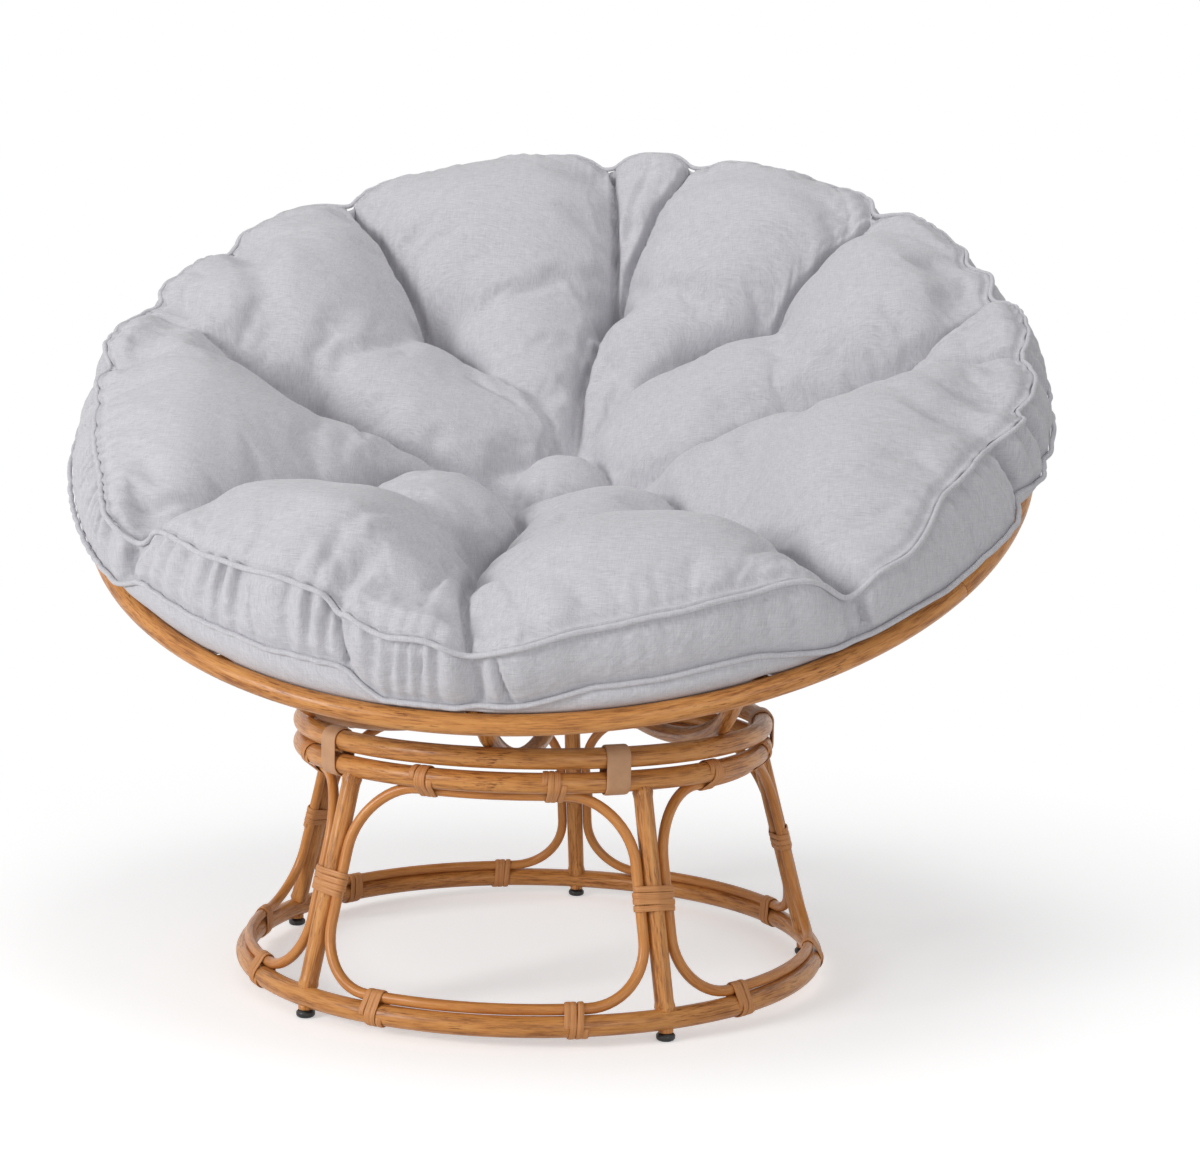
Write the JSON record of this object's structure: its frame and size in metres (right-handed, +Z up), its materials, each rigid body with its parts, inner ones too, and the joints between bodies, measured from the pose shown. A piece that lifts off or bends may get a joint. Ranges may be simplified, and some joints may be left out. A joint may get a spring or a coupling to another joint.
{
  "type": "papasan chair",
  "caption": "Round tilted bowl chair: wood-look steel tube bowl strapped to a ring stand with strip-bound rod loops, and a loose round tufted cushion.",
  "frame": {"origin": "on the floor, under the middle of the chair's bounding box", "axes": "+Z up, the low front of the bowl faces -Y, +X to the sitter's left"},
  "size_m": [1.0994, 0.9742, 0.9262],
  "materials": {
    "wood_look_tube": "satin honey-tan wood-grain print on steel tube",
    "wood_look_rod": "satin orange-tan wood-look on steel rod",
    "binding_strip": "matte flat rattan-look strip",
    "tan_strap": "matte smooth faux leather",
    "black_glide": "satin black",
    "grey_linen": "light grey heathered linen-look weave",
    "grey_piping": "light grey linen-look cord cover"
  },
  "bodies": {
    "chair": {"stand_bottom_ring": "wood_look_tube", "stand_top_ring": "wood_look_tube", "leg_1": "wood_look_tube", "leg_2": "wood_look_tube", "leg_3": "wood_look_tube", "leg_4": "wood_look_tube", "leg_5": "wood_look_tube", "loop_1": "wood_look_rod", "loop_2": "wood_look_rod", "loop_3": "wood_look_rod", "loop_4": "wood_look_rod", "loop_5": "wood_look_rod", "bottom_wrap_1a": "binding_strip", "bottom_wrap_1b": "binding_strip", "bottom_wrap_2a": "binding_strip", "bottom_wrap_2b": "binding_strip", "bottom_wrap_3a": "binding_strip", "bottom_wrap_3b": "binding_strip", "bottom_wrap_4a": "binding_strip", "bottom_wrap_4b": "binding_strip", "bottom_wrap_5a": "binding_strip", "bottom_wrap_5b": "binding_strip", "top_wrap_1a": "binding_strip", "top_wrap_1b": "binding_strip", "top_wrap_2a": "binding_strip", "top_wrap_2b": "binding_strip", "top_wrap_3a": "binding_strip", "top_wrap_3b": "binding_strip", "top_wrap_4a": "binding_strip", "top_wrap_4b": "binding_strip", "top_wrap_5a": "binding_strip", "top_wrap_5b": "binding_strip", "leg_wrap_1": "binding_strip", "leg_wrap_2": "binding_strip", "leg_wrap_3": "binding_strip", "leg_wrap_4": "binding_strip", "leg_wrap_5": "binding_strip", "bowl_foot_ring": "wood_look_tube", "strap_1": "tan_strap", "strap_2": "tan_strap", "strap_3": "tan_strap", "strap_4": "tan_strap", "strap_5": "tan_strap", "rim_front_half": "wood_look_tube", "rim_back_half": "wood_look_tube", "spine_rib": "wood_look_tube", "rib_front_right": "wood_look_tube", "rib_right": "wood_look_tube", "rib_back_right": "wood_look_tube", "rib_back_left": "wood_look_tube", "rib_left": "wood_look_tube", "rib_front_left": "wood_look_tube"},
    "cushion": {"cushion": "grey_linen", "piping_top": "grey_piping", "piping_bottom": "grey_piping"},
    "glide_1": {"glide_1": "black_glide"},
    "glide_2": {"glide_2": "black_glide"},
    "glide_3": {"glide_3": "black_glide"},
    "glide_4": {"glide_4": "black_glide"},
    "glide_5": {"glide_5": "black_glide"}
  },
  "joints": [
    {"name": "cushion_lift", "type": "slide", "parent": "chair", "child": "cushion", "axis": [0, -0.4594, 0.8882], "range_m": [0, 0.45]},
    {"name": "glide_1_screw", "type": "slide", "parent": "chair", "child": "glide_1", "axis": [0, 0, -1], "range_m": [0, 0.006]},
    {"name": "glide_2_screw", "type": "slide", "parent": "chair", "child": "glide_2", "axis": [0, 0, -1], "range_m": [0, 0.006]},
    {"name": "glide_3_screw", "type": "slide", "parent": "chair", "child": "glide_3", "axis": [0, 0, -1], "range_m": [0, 0.006]},
    {"name": "glide_4_screw", "type": "slide", "parent": "chair", "child": "glide_4", "axis": [0, 0, -1], "range_m": [0, 0.006]},
    {"name": "glide_5_screw", "type": "slide", "parent": "chair", "child": "glide_5", "axis": [0, 0, -1], "range_m": [0, 0.006]}
  ]
}
